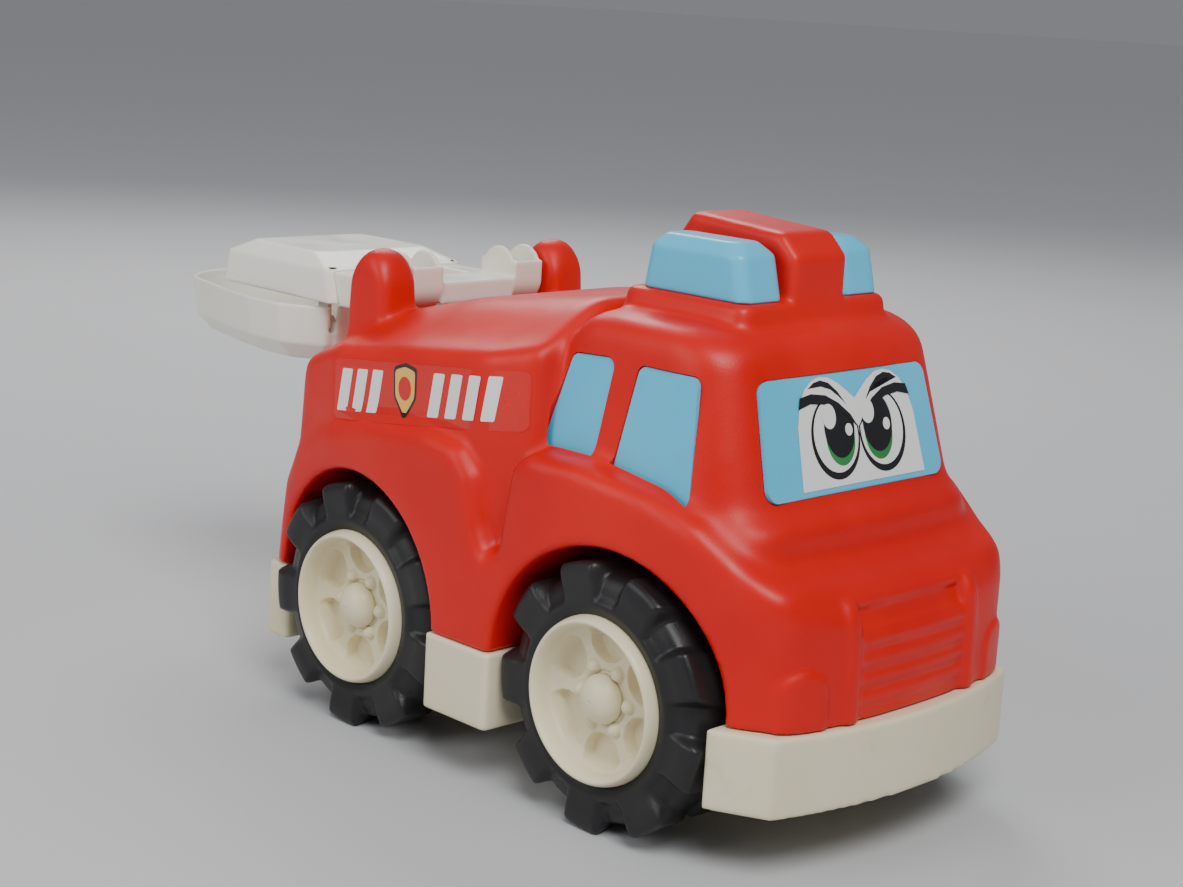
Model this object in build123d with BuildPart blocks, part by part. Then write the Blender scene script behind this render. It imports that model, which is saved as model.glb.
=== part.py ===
"""Toy fire engine: a blow-moulded body on four rolling wheels, with a tipping rescue boom and bucket.

Millimetres. +X is the truck's front, +Y its left and +Z up. The origin is on the ground, at the
middle of the overall bounding box.
"""
import math
import os

from build123d import *

os.makedirs("parts", exist_ok=True)

# ---- driving dimensions ----------------------------------------------------------------------
WHEEL_R = 80.0            # over the tread lugs
REAR_AXLE_X = -16.0
FRONT_AXLE_X = 206.0
WALL = 3.0                # body wall
SEAM_Z = 86.0             # bottom of the red body, top of the white base parts
HALF_WIDTH = 136.0        # red body at mid length
END_HALF_WIDTH = 118.0    # red body at its two ends
TAIL_X = -119.0
NOSE_X = 335.0
BUMPER_PROUD = 5.0        # bumpers stand out from the red body by this much

TYRE_IN = 71.0            # inner and outer faces of a tyre, measured from the centre plane
TYRE_OUT = 131.0
SEAT_R = 50.0             # tyre on hub
AXLE_R = 5.0
RUNNING_GAP = 0.05        # radial clearance of a running fit

ARCH_R = 85.0
ARCH_Z = 84.0
ARCH_IN = 64.0            # inner wall of a wheel well

PANEL_Y = 129.0           # flat side panel of the rear body
CAB_LOW_Z = 165.0
ROOF_Z = 297.0
CAB_LOW_HALF = 113.0
CAB_ROOF_HALF = 99.0
CAB_LOW_X = (96.0, 294.4)
CAB_ROOF_X = (145.0, 255.8)

PIVOT_X = -69.0           # boom pivot
PIVOT_Z = 277.0
TROUGH_Z = 252.0          # deck under the boom's pivot housings
PIN_R = 7.0
ARM_Y = (34.0, 56.0)
HOUSING_Y = (32.0, 58.0)
PYLON_Y = (61.0, 91.0)
PYLON_X = -61.0

BUCKET_PIN_X = -158.0
BUCKET_PIN_Z = 237.0
BUCKET_PIN_R = 3.0
BUCKET_Z = (210.0, 250.0)
BUCKET_WALL = 2.5

SIDES = {"right": -1, "left": 1}
AXLES = {"rear": REAR_AXLE_X, "front": FRONT_AXLE_X}


def save(name, part):
    """Label a finished piece and write its STEP file."""
    part.label = name
    export_step(part, f"parts/{name}.step")


def wheel_plane(axle_x, side):
    """Plane through the axle: local X is radial, local Y points outboard."""
    return Plane(origin=(axle_x, 0, WHEEL_R), x_dir=(1, 0, 0), z_dir=(0, 0, side))


def across(x, z, y):
    """Plane square to Y at (x, y, z), with local X forward and local Y up."""
    return Plane(origin=(x, y, z), x_dir=(1, 0, 0), z_dir=(0, -1, 0))


CAB_LEAN = math.atan((CAB_LOW_HALF - CAB_ROOF_HALF) / (ROOF_Z - CAB_LOW_Z))
SCREEN_LEAN = math.atan((CAB_LOW_X[1] - CAB_ROOF_X[1]) / (ROOF_Z - CAB_LOW_Z))


def cab_side_plane(side):
    """Plane on the cab's side: local Y runs up the slope, normal points outboard."""
    return Plane(
        origin=(0, side * CAB_LOW_HALF, CAB_LOW_Z),
        x_dir=(-side, 0, 0),
        z_dir=(0, side * math.cos(CAB_LEAN), math.sin(CAB_LEAN)),
    )


SCREEN_PLANE = Plane(
    origin=(CAB_LOW_X[1], 0, CAB_LOW_Z),
    x_dir=(0, 1, 0),
    z_dir=(math.cos(SCREEN_LEAN), 0, math.sin(SCREEN_LEAN)),
)


def up_slope(z, lean):
    """Distance up a leaning plane at height z."""
    return (z - CAB_LOW_Z) / math.cos(lean)


# ---- red body --------------------------------------------------------------------------------
def plan_outline(grow):
    """Plan outline of the body, grown outward by grow."""
    with BuildSketch() as outline:
        with BuildLine():
            front = ThreePointArc((318, -104), (NOSE_X, 0), (318, 104))
            left_corner = Line(front @ 1, (290, END_HALF_WIDTH))
            left = ThreePointArc(left_corner @ 1, (85, HALF_WIDTH), (TAIL_X, END_HALF_WIDTH - 6))
            tail = Line(left @ 1, (TAIL_X, -END_HALF_WIDTH + 6))
            right = ThreePointArc(tail @ 1, (85, -HALF_WIDTH), (290, -END_HALF_WIDTH))
            Line(right @ 1, front @ 0)
        make_face()
        if grow:
            offset(amount=grow, kind=Kind.INTERSECTION)
    return outline.sketch


def fender_form(inset):
    """Fenders and hood: the plan outline cut to the side silhouette."""
    with BuildPart() as form:
        with BuildSketch(Plane.XY.offset(SEAM_Z + inset)):
            add(plan_outline(-inset))
        extrude(amount=140)
        with BuildSketch(Plane.XZ):
            with BuildLine():
                Polyline(
                    (-130, 60), (-118, 84), (-104, 150), (-82, 176), (-50, 190), (10, 204), (76, 206),
                    (97, 190), (106, 150), (122, 150), (133, 208), (180, 211), (232, 204), (262, 193),
                    (292, 172), (316, 160), (330, 140), (NOSE_X, 112), (NOSE_X + 5, 60), (-130, 60),
                )
            make_face()
            if inset:
                offset(amount=-inset, kind=Kind.INTERSECTION)
        extrude(amount=200, both=True, mode=Mode.INTERSECT)
    return form.part


def deck_form(inset):
    """Rear body above the fenders, with a crowned deck that rises to the cab."""
    stations = [(-121, 114, 212, 226), (-46, PANEL_Y, 243, 263), (130, PANEL_Y, 265, 296)]
    with BuildPart() as form:
        for x, half, shoulder_z, top_z in stations:
            x_in = min(x, 130 - inset)
            side_y = half - inset
            with BuildSketch(Plane.YZ.offset(x_in)):
                Polygon(
                    (-side_y, SEAM_Z + inset), (side_y, SEAM_Z + inset), (side_y, shoulder_z - inset),
                    (62, top_z - inset), (-62, top_z - inset), (-side_y, shoulder_z - inset), align=None,
                )
        loft(ruled=True)
        with BuildSketch(Plane.XZ):
            Polygon(
                (-118 + inset, 60), (-118 + inset, 84), (-99 + inset, 158), (-84 + inset, 300),
                (150, 300), (150, 60), align=None,
            )
        extrude(amount=200, both=True, mode=Mode.INTERSECT)
        with Locations((PIVOT_X, 0, TROUGH_Z - inset)):
            Box(58, 120 + 2 * inset, 60, align=(Align.CENTER, Align.CENTER, Align.MIN), mode=Mode.SUBTRACT)
    return form.part


def cab_form(inset):
    """Leaning cab between the fenders and the roof, with its roof flange."""
    lean_in = inset * 1.05
    with BuildPart() as form:
        for z, ends, half, corner in (
            (CAB_LOW_Z, CAB_LOW_X, CAB_LOW_HALF, 26),
            (ROOF_Z - inset, CAB_ROOF_X, CAB_ROOF_HALF, 20),
        ):
            length = ends[1] - ends[0] - 2 * lean_in
            with BuildSketch(Plane.XY.offset(z)):
                with Locations(((ends[0] + ends[1]) / 2, 0)):
                    RectangleRounded(length, 2 * (half - lean_in), corner - inset)
        loft()
        with BuildSketch(Plane.XY.offset(SEAM_Z + inset)):
            with Locations((190, 0)):
                Rectangle(200, 2 * (CAB_LOW_HALF - 6 - inset))
        extrude(amount=CAB_LOW_Z - SEAM_Z - inset)
        with BuildSketch(Plane.XY.offset(CAB_LOW_Z - 40)):
            with Locations((250, 0)):
                RectangleRounded(96 - 2 * inset, 200 - 2 * inset, 20)
        extrude(amount=60 - inset)
        with BuildSketch(Plane.XY.offset(ROOF_Z - 10)):
            with Locations((194, 0)):
                RectangleRounded(98 - 2 * inset, 134 - 2 * inset, 12)
        extrude(amount=20 - inset)
    return form.part


def wells(grow):
    """The four wheel wells; grow gives the space their walls take inside the hollow."""
    with BuildPart() as form:
        for side in SIDES.values():
            for axle_x in AXLES.values():
                with BuildSketch(across(axle_x, ARCH_Z, side * (ARCH_IN - grow))):
                    Circle(ARCH_R + grow)
                extrude(amount=-side * 100)
    return form.part


with BuildPart() as body_hollow:
    add(fender_form(WALL))
    add(deck_form(WALL))
    add(cab_form(WALL))
    add(wells(WALL), mode=Mode.SUBTRACT)

SCREWS = [(305.0, 70.0), (95.0, 100.0), (-109.0, 70.0)]
SCREW_R = 2.5

with BuildPart() as body_shell:
    add(fender_form(0))
    add(deck_form(0))
    add(cab_form(0))
    add(wells(0), mode=Mode.SUBTRACT)
    add(body_hollow.part, mode=Mode.SUBTRACT)
    # thumb-shaped pylons that carry the boom
    for side in SIDES.values():
        with BuildSketch(across(PYLON_X, 0, side * PYLON_Y[0])):
            with BuildLine():
                apex = ThreePointArc((-17, 284), (0, 301), (17, 284))
                Polyline(apex @ 1, (21, 236), (-21, 236), apex @ 0)
            make_face()
        extrude(amount=-side * (PYLON_Y[1] - PYLON_Y[0]))
    # strap over the middle of the light bar
    with BuildSketch(Plane.XZ):
        with BuildLine():
            Polyline((146, 306), (146, 338), (157, 350), (228, 344), (241, 332), (241, 306), (146, 306))
        make_face()
    extrude(amount=25, both=True)
    # seats for the windows and the windshield
    for side in SIDES.values():
        for corners in (
            [(146, 269), (180, 271), (170, 194), (124, 194)],
            [(199, 270), (243, 270), (250, 185), (184, 185)],
        ):
            with BuildSketch(cab_side_plane(side)):
                Polygon(*[(-side * x, up_slope(z, CAB_LEAN)) for x, z in corners], align=None)
                fillet(vertices(), 6)
            extrude(amount=-WALL - 6, mode=Mode.SUBTRACT)
    with BuildSketch(SCREEN_PLANE):
        Polygon(
            (-80, up_slope(204, SCREEN_LEAN)), (80, up_slope(204, SCREEN_LEAN)),
            (74, up_slope(269, SCREEN_LEAN)), (-74, up_slope(269, SCREEN_LEAN)), align=None,
        )
        fillet(vertices(), 8)
    extrude(amount=-WALL - 6, mode=Mode.SUBTRACT)
    # pivot pin holes and screw holes
    for side in SIDES.values():
        with Locations(across(PIVOT_X, PIVOT_Z, side * PYLON_Y[0])):
            Cylinder(PIN_R, 40, mode=Mode.SUBTRACT)
        for x, y in SCREWS:
            with Locations((x, side * y, SEAM_Z)):
                Cylinder(SCREW_R, 12, mode=Mode.SUBTRACT)
save("body_shell", body_shell.part)

# ---- window panels, light domes and stickers -----------------------------------------------------
PANEL_T = 2.5
PANEL_SET_BACK = 0.8
STICKER_T = 0.4
WINDOWS = {
    "rear_window": [(146, 269), (180, 271), (170, 194), (124, 194)],
    "front_window": [(199, 270), (243, 270), (250, 185), (184, 185)],
}
for side_name, side in SIDES.items():
    for window_name, corners in WINDOWS.items():
        with BuildPart() as window:
            with BuildSketch(cab_side_plane(side).offset(-PANEL_SET_BACK)):
                Polygon(*[(-side * x, up_slope(z, CAB_LEAN)) for x, z in corners], align=None)
                fillet(vertices(), 6)
            extrude(amount=-PANEL_T)
        save(f"{window_name}_{side_name}", window.part)

with BuildPart() as windshield_panel:
    with BuildSketch(SCREEN_PLANE.offset(-PANEL_SET_BACK)):
        Polygon(
            (-80, up_slope(204, SCREEN_LEAN)), (80, up_slope(204, SCREEN_LEAN)),
            (74, up_slope(269, SCREEN_LEAN)), (-74, up_slope(269, SCREEN_LEAN)), align=None,
        )
        fillet(vertices(), 8)
    extrude(amount=-PANEL_T)
save("windshield_panel", windshield_panel.part)

with BuildPart() as eye_sticker:
    with BuildSketch(SCREEN_PLANE.offset(-PANEL_SET_BACK)):
        Polygon(
            (-50, up_slope(207, SCREEN_LEAN)), (50, up_slope(207, SCREEN_LEAN)),
            (40, up_slope(266, SCREEN_LEAN)), (-40, up_slope(266, SCREEN_LEAN)), align=None,
        )
        fillet(vertices(), 5)
    extrude(amount=STICKER_T)
save("eye_sticker", eye_sticker.part)

for side_name, side in SIDES.items():
    with BuildPart() as side_sticker:
        with BuildSketch(across(0, 0, side * PANEL_Y)):
            Polygon((-42, 198), (127, 221), (127, 257), (-42, 238), align=None)
            fillet(vertices(), 4)
        extrude(amount=-side * STICKER_T)
    save(f"side_sticker_{side_name}", side_sticker.part)

FLANGE_TOP = ROOF_Z + 10
DOME_TOP = FLANGE_TOP + 33
DOME_WALL = 2.5


def dome_form(side, inset):
    """Warning-light dome beside the strap, drawn in by inset; its inner form is open below."""
    with BuildPart() as form:
        for z, mid_x, length, half in (
            (FLANGE_TOP - inset, 197, 82, 18.2), (DOME_TOP - 7, 196, 72, 17.2), (DOME_TOP - inset, 195, 58, 11.0),
        ):
            with BuildSketch(Plane.XY.offset(z)):
                with Locations((mid_x, side * 43.6)):
                    RectangleRounded(length - 2 * inset, 2 * (half - inset), 8 - inset)
        loft(ruled=True)
    return form.part


for side_name, side in SIDES.items():
    with BuildPart() as light_dome:
        add(dome_form(side, 0))
        add(dome_form(side, DOME_WALL), mode=Mode.SUBTRACT)
    save(f"light_dome_{side_name}", light_dome.part)

# ---- white base: chassis tray, bumpers and sills ---------------------------------------------
TRAY_HALF = 59.0
TRAY_Z = 46.0
TRAY_X = (-98.0, 286.0)
with BuildPart() as chassis_tray:
    with BuildSketch(Plane.XY.offset(TRAY_Z)):
        with Locations(((TRAY_X[0] + TRAY_X[1]) / 2, 0)):
            RectangleRounded(TRAY_X[1] - TRAY_X[0], 2 * TRAY_HALF, 4)
    extrude(amount=SEAM_Z - TRAY_Z)
    offset(amount=-WALL, openings=chassis_tray.faces().sort_by(Axis.Z)[-1])
    # cross ribs either side of each axle, and open saddles for the axles
    for axle_x in AXLES.values():
        for step in (-14, 14):
            with Locations((axle_x + step, 0, TRAY_Z + WALL)):
                Box(3, 2 * TRAY_HALF - 2 * WALL, 24, align=(Align.CENTER, Align.CENTER, Align.MIN))
        with BuildSketch(Plane.XZ):
            with Locations((axle_x, WHEEL_R)):
                Circle(AXLE_R)
            with Locations((axle_x, WHEEL_R + 10)):
                Rectangle(2 * AXLE_R, 20)
        extrude(amount=80, both=True, mode=Mode.SUBTRACT)
save("chassis_tray", chassis_tray.part)

with BuildPart() as front_bumper:
    with BuildSketch(Plane.XY.offset(40)):
        add(plan_outline(BUMPER_PROUD))
    extrude(amount=SEAM_Z - 40)
    with Locations((TRAY_X[1], 0, 0)):
        Box(500, 400, 400, align=(Align.MAX, Align.CENTER, Align.CENTER), mode=Mode.SUBTRACT)
    offset(amount=-WALL, openings=front_bumper.faces().sort_by(Axis.Z)[0])
    for side in SIDES.values():
        with Locations((SCREWS[0][0], side * SCREWS[0][1], SEAM_Z)):
            Cylinder(SCREW_R, 8, mode=Mode.SUBTRACT)
save("front_bumper", front_bumper.part)

with BuildPart() as rear_bumper:
    with BuildSketch(Plane.XY.offset(34)):
        with Locations((-109.5, 0)):
            RectangleRounded(23, 238, 5)
    extrude(amount=SEAM_Z - 34)
    offset(amount=-WALL, openings=rear_bumper.faces().sort_by(Axis.Z)[0])
    for side in SIDES.values():
        with Locations((SCREWS[2][0], side * SCREWS[2][1], SEAM_Z)):
            Cylinder(SCREW_R, 8, mode=Mode.SUBTRACT)
save("rear_bumper", rear_bumper.part)

for side_name, side in SIDES.items():
    with BuildPart() as side_sill:
        with BuildSketch(Plane.XY.offset(38)):
            with Locations((95, side * (TRAY_HALF + 138.5) / 2)):
                Rectangle(58, 138.5 - TRAY_HALF)
        extrude(amount=SEAM_Z - 38)
        outer_edges = side_sill.faces().sort_by(Axis.Y)[0 if side < 0 else -1].edges()
        fillet(outer_edges.filter_by(Axis.Z), 4)
        offset(amount=-WALL, openings=side_sill.faces().sort_by(Axis.Z)[0])
        with Locations((SCREWS[1][0], side * SCREWS[1][1], SEAM_Z)):
            Cylinder(SCREW_R, 8, mode=Mode.SUBTRACT)
    save(f"side_sill_{side_name}", side_sill.part)

with BuildPart() as body_screws:
    for side in SIDES.values():
        for x, y in SCREWS:
            with Locations((x, side * y, SEAM_Z + 1.5)):
                Cylinder(SCREW_R, 9)
            with Locations((x, side * y, SEAM_Z - WALL - 3)):
                Cylinder(4.5, 3, align=(Align.CENTER, Align.CENTER, Align.MIN))
save("body_screws", body_screws.part)

# ---- axles, push nuts and wheels -------------------------------------------------------------
AXLE_HALF = 124.0
for axle_name, axle_x in AXLES.items():
    with BuildPart() as axle:
        with Locations(across(axle_x, WHEEL_R, 0)):
            Cylinder(AXLE_R, 2 * AXLE_HALF)
    save(f"{axle_name}_axle", axle.part)

with BuildPart() as push_nuts:
    for side in SIDES.values():
        for axle_x in AXLES.values():
            with Locations(across(axle_x, WHEEL_R, side * 121.5)):
                Cylinder(8, 2)
                Cylinder(AXLE_R, 2, mode=Mode.SUBTRACT)
save("push_nuts", push_nuts.part)

FACE_OUT = 120.0          # outer face of the spoked disc
CAP_R = 15.0
SPOKES = 6
LUGS = 9
for axle_name, axle_x in AXLES.items():
    for side_name, side in SIDES.items():
        local = wheel_plane(axle_x, side)
        spin = Axis((axle_x, 0, WHEEL_R), (0, 1, 0))
        with BuildPart() as hub:
            with BuildSketch(local):
                with BuildLine():
                    lip = ThreePointArc((SEAT_R, TYRE_OUT + 2), (48.2, 136.6), (45, 135))
                    Polyline(
                        lip @ 1, (43.5, 124), (40.5, FACE_OUT), (19, FACE_OUT), (17, 122.5), (CAP_R, 123),
                        (CAP_R, 120), (9, 120), (9, 119.5), (AXLE_R + RUNNING_GAP, 119.5),
                        (AXLE_R + RUNNING_GAP, 72), (11, 72), (11, 110), (46.5, 110), (46.5, 73),
                        (SEAT_R, 73), lip @ 0,
                    )
                make_face()
            revolve(axis=spin)
            # scalloped panels between the spokes
            with BuildSketch(across(axle_x, WHEEL_R, side * FACE_OUT)):
                with PolarLocations(0, SPOKES, start_angle=180 / SPOKES):
                    Polygon((20.5, -4), (38.5, -13), (38.5, 13), (20.5, 4), align=None)
                fillet(vertices(), 3)
            extrude(amount=side * 5, mode=Mode.SUBTRACT)
            with Locations(across(axle_x, WHEEL_R, side * (FACE_OUT + 1))):
                with PolarLocations(19.6, SPOKES):
                    Sphere(4.2)
        save(f"hub_{axle_name}_{side_name}", hub.part)

        with BuildPart() as hub_cap:
            with BuildSketch(across(axle_x, WHEEL_R, side * FACE_OUT)):
                Circle(CAP_R)
            extrude(amount=-side * 14)
            fillet(hub_cap.faces().sort_by(Axis.Y)[0 if side < 0 else -1].edges(), 9)
            with BuildSketch(across(axle_x, WHEEL_R, side * FACE_OUT)):
                Circle(CAP_R - 4)
            extrude(amount=-side * 7, mode=Mode.SUBTRACT)
        save(f"hub_cap_{axle_name}_{side_name}", hub_cap.part)

        with BuildPart() as tyre:
            with BuildSketch(local):
                Polygon(
                    (SEAT_R, 73), (57, TYRE_IN), (70, 73), (78, 80), (WHEEL_R, 92), (WHEEL_R, 110),
                    (78, 122), (70, 129), (57, TYRE_OUT), (SEAT_R, 129), align=None,
                )
                fillet(vertices().group_by(Axis.X)[1:], 2)
            revolve(axis=spin)
            # hollow behind the tread, open towards the hub
            with BuildSketch(local):
                Polygon((SEAT_R - 1, 77), (SEAT_R - 1, 120), (68, 120), (68, 77), align=None)
            revolve(axis=spin, mode=Mode.SUBTRACT)
            # grooves between the tread lugs: an outer row that wraps the shoulder, an inner row
            for row_start, row_end, reach, turn in ((103, 140, 74, 0), (125, 140, 61, 0), (62, 99, 74, 20)):
                with BuildSketch(across(axle_x, WHEEL_R, side * row_start)):
                    with PolarLocations(0, LUGS, start_angle=turn):
                        Polygon((reach, -8), (100, -13), (100, 13), (reach, 8), align=None)
                extrude(amount=-side * (row_end - row_start), mode=Mode.SUBTRACT)
        save(f"tyre_{axle_name}_{side_name}", tyre.part)

# ---- rescue boom -----------------------------------------------------------------------------
for side_name, side in SIDES.items():
    with BuildPart() as boom_pivot_pin:
        with BuildSketch(across(PIVOT_X, PIVOT_Z, side * 38)):
            Circle(PIN_R)
        extrude(amount=-side * 43)
    save(f"boom_pivot_pin_{side_name}", boom_pivot_pin.part)

ARM_TOP = 276.0
ARM_REAR_X = -236.0
with BuildPart() as boom_frame:
    for side in SIDES.values():
        # lobed pivot housing, open at the top
        with BuildSketch(across(PIVOT_X, PIVOT_Z, side * HOUSING_Y[0])):
            Circle(18)
            with Locations((0, 6.5)):
                Rectangle(36, 13)
        extrude(amount=-side * (HOUSING_Y[1] - HOUSING_Y[0]))
        with BuildSketch(across(PIVOT_X, PIVOT_Z, side * (HOUSING_Y[0] + 3))):
            Circle(15)
            with Locations((0, 10)):
                Rectangle(30, 20)
        extrude(amount=-side * (HOUSING_Y[1] - HOUSING_Y[0] - 6), mode=Mode.SUBTRACT)
        for wall_y in (HOUSING_Y[0], HOUSING_Y[1] - 3):
            with BuildSketch(across(PIVOT_X, PIVOT_Z, side * wall_y)):
                with Locations((0, 5.5)):
                    Circle(16.5)
            extrude(amount=-side * 3)
        # arm running back from the housing, raised where it passes over the bucket's front wall
        with BuildSketch(across(0, 0, side * ARM_Y[0])):
            Polygon(
                (PIVOT_X - 16, ARM_TOP), (PIVOT_X - 16, 262), (-90, 253), (-132, 253), (-136, 259), (ARM_REAR_X, 259),
                (ARM_REAR_X, ARM_TOP), align=None,
            )
        extrude(amount=-side * (ARM_Y[1] - ARM_Y[0]))
        # ear that carries the bucket's hinge pin
        with BuildSketch(across(BUCKET_PIN_X, BUCKET_PIN_Z, side * 46)):
            Circle(6)
            with Locations((0, 12)):
                Rectangle(12, 24)
        extrude(amount=-side * 4)
    # crossbar between the housings, with ribs under its top plate
    with Locations((PIVOT_X, 0, 279)):
        Box(34, 2 * HOUSING_Y[0], 4, align=(Align.CENTER, Align.CENTER, Align.MAX))
    for step in (-15.5, 15.5):
        with Locations((PIVOT_X + step, 0, 279)):
            Box(3, 2 * HOUSING_Y[0], 15, align=(Align.CENTER, Align.CENTER, Align.MAX))
    for rib_y in (-21, -7, 7, 21):
        with Locations((PIVOT_X, rib_y, 279)):
            Box(30, 2.5, 12, align=(Align.CENTER, Align.CENTER, Align.MAX))
    # rear cross member between the arms
    with Locations((ARM_REAR_X, 0, ARM_TOP)):
        Box(5, 2 * ARM_Y[0], 14, align=(Align.MIN, Align.CENTER, Align.MAX))
    for side in SIDES.values():
        with Locations(across(PIVOT_X, PIVOT_Z, side * HOUSING_Y[1])):
            Cylinder(PIN_R + RUNNING_GAP, 12, mode=Mode.SUBTRACT)
        with Locations(across(BUCKET_PIN_X, BUCKET_PIN_Z, side * 48)):
            Cylinder(BUCKET_PIN_R, 12, mode=Mode.SUBTRACT)
save("boom_frame", boom_frame.part)


def hood_form(inset):
    """Hood over the arms, drawn in by inset; its inner form runs out below the rim."""
    levels = [(254 - 2 * inset, -266, -131, 62.0), (277, -262, -137, 61.0), (286 - inset, -244, -165, 50.0)]
    with BuildPart() as form:
        for z, rear_x, front_x, half in levels:
            with BuildSketch(Plane.XY.offset(z)):
                with Locations(((rear_x + front_x) / 2, 0)):
                    RectangleRounded(front_x - rear_x - 2 * inset, 2 * (half - inset), 9 - inset)
        loft(ruled=True)
    return form.part


with BuildPart() as boom_hood:
    add(hood_form(0))
    add(hood_form(BUCKET_WALL), mode=Mode.SUBTRACT)
    for side in SIDES.values():
        with Locations((-140, side * (ARM_Y[0] + ARM_Y[1]) / 2, ARM_TOP)):
            Box(40, ARM_Y[1] - ARM_Y[0], 40, align=(Align.CENTER, Align.CENTER, Align.MAX), mode=Mode.SUBTRACT)
save("boom_hood", boom_hood.part)

for side_name, side in SIDES.items():
    with BuildPart() as bucket_pin:
        with BuildSketch(across(BUCKET_PIN_X, BUCKET_PIN_Z, side * 40)):
            Circle(BUCKET_PIN_R)
        extrude(amount=-side * 11)
    save(f"bucket_pin_{side_name}", bucket_pin.part)


# ---- rescue bucket ---------------------------------------------------------------------------
def bucket_outline(inset):
    """Plan outline of the bucket at its rim, drawn in by inset."""
    with BuildSketch() as outline:
        with BuildLine():
            tail = ThreePointArc((-313, -53), (-340, 0), (-313, 53))
            left = Polyline(tail @ 1, (-256, 67), (-214, 74), (-178, 74), (-146, 55))
            front = Line(left @ 1, (-146, -55))
            Polyline(front @ 1, (-178, -74), (-214, -74), (-256, -67), tail @ 0)
        make_face()
        fillet(outline.vertices(), 8)
        if inset:
            offset(amount=-inset)
    return outline.sketch


def bucket_form(inset):
    """Bucket's outer form, drawn in by inset; its inner form runs out above the rim."""
    with BuildPart() as form:
        for z, draw_in in ((BUCKET_Z[0] + inset, 14), (BUCKET_Z[0] + 12, 4), (BUCKET_Z[1] + inset, 0)):
            with BuildSketch(Plane.XY.offset(z)):
                add(bucket_outline(draw_in + inset))
        loft(ruled=True)
    return form.part


with BuildPart() as rescue_bucket:
    add(bucket_form(0))
    add(bucket_form(BUCKET_WALL), mode=Mode.SUBTRACT)
    for side in SIDES.values():
        with BuildSketch(across(BUCKET_PIN_X, BUCKET_PIN_Z, side * 41)):
            Circle(6)
            Polygon((-6, 0), (6, 0), (10, 0), (10, -26), (-6, -26), align=None)
        extrude(amount=-side * 4.5)
        with Locations(across(BUCKET_PIN_X, BUCKET_PIN_Z, side * 43)):
            Cylinder(BUCKET_PIN_R + RUNNING_GAP, 12, mode=Mode.SUBTRACT)
        # slot in the front wall that the boom's ear passes through as the bucket swings
        with Locations((-147, side * 48, 231)):
            Box(15, 5, 24, align=(Align.CENTER, Align.CENTER, Align.MIN), mode=Mode.SUBTRACT)
save("rescue_bucket", rescue_bucket.part)
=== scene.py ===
"""Toy fire engine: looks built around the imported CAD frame. Lengths in metres unless a name ends in _MM."""

import math

import bmesh
import bpy
import numpy as np
from mathutils import Matrix, Vector
from mathutils.bvhtree import BVHTree


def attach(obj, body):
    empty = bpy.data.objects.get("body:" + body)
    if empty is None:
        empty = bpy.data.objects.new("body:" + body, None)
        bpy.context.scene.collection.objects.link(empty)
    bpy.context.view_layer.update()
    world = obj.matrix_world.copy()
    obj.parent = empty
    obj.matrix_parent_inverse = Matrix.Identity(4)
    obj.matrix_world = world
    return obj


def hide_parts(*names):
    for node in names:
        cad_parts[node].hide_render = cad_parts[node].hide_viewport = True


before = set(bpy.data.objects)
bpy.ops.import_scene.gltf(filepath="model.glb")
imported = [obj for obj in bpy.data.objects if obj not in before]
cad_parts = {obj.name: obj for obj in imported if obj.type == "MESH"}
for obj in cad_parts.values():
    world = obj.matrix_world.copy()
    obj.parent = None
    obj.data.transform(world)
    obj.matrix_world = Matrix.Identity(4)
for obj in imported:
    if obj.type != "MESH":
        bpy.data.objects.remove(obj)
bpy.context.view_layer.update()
MM = 0.001


# ---- camera, light and floor -------------------------------------------------------------------
def make_camera():
    """Looks at the truck's front right corner from a little above it."""
    data = bpy.data.cameras.new("camera")
    data.lens = 63.35
    data.sensor_width = 36.0
    data.clip_end = 200.0
    camera = bpy.data.objects.new("camera", data)
    bpy.context.scene.collection.objects.link(camera)
    right = Vector((0.7010, 0.7110, 0.0561))
    up = Vector((-0.1880, 0.1083, 0.9762))
    back = Vector((0.6879, -0.6949, 0.2096))
    turn = Matrix((right, up, back)).transposed().to_4x4()
    camera.matrix_world = Matrix.Translation((0.9905, -0.9361, 0.4702)) @ turn
    bpy.context.scene.camera = camera


def make_light(name, place, target, size, power):
    """A soft square area light aimed at target."""
    data = bpy.data.lights.new(name, "AREA")
    data.size = size
    data.energy = power
    light = bpy.data.objects.new(name, data)
    bpy.context.scene.collection.objects.link(light)
    aim = Vector(target) - Vector(place)
    light.matrix_world = Matrix.Translation(place) @ aim.to_track_quat("-Z", "Y").to_matrix().to_4x4()


def make_world():
    """Even grey surroundings that fill the shadows."""
    world = bpy.data.worlds.new("studio")
    bpy.context.scene.world = world
    world.use_nodes = True
    background = world.node_tree.nodes["Background"]
    background.inputs["Color"].default_value = (0.55, 0.56, 0.60, 1)
    background.inputs["Strength"].default_value = 0.40


# ---- material helpers --------------------------------------------------------------------------
def new_material(name):
    """A node material, its Principled shader and a helper that adds linked nodes."""
    material = bpy.data.materials.new(name)
    material.use_nodes = True
    tree = material.node_tree
    shader = tree.nodes["Principled BSDF"]
    coords = tree.nodes.new("ShaderNodeTexCoord")

    def node(kind, links=None, **values):
        made = tree.nodes.new(kind)
        for key, value in values.items():
            if key in made.inputs:
                made.inputs[key].default_value = value
            else:
                setattr(made, key, value)
        for socket, source in (links or {}).items():
            tree.links.new(source, made.inputs[socket])
        return made

    return material, shader, coords, node, tree.links


def noise(node, coords, scale, detail=3.0, rough=0.5):
    """Noise texture on object coordinates."""
    made = node("ShaderNodeTexNoise", {"Vector": coords.outputs["Object"]}, Scale=scale, Detail=detail)
    made.inputs["Roughness"].default_value = rough
    return made.outputs["Fac"]


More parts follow.
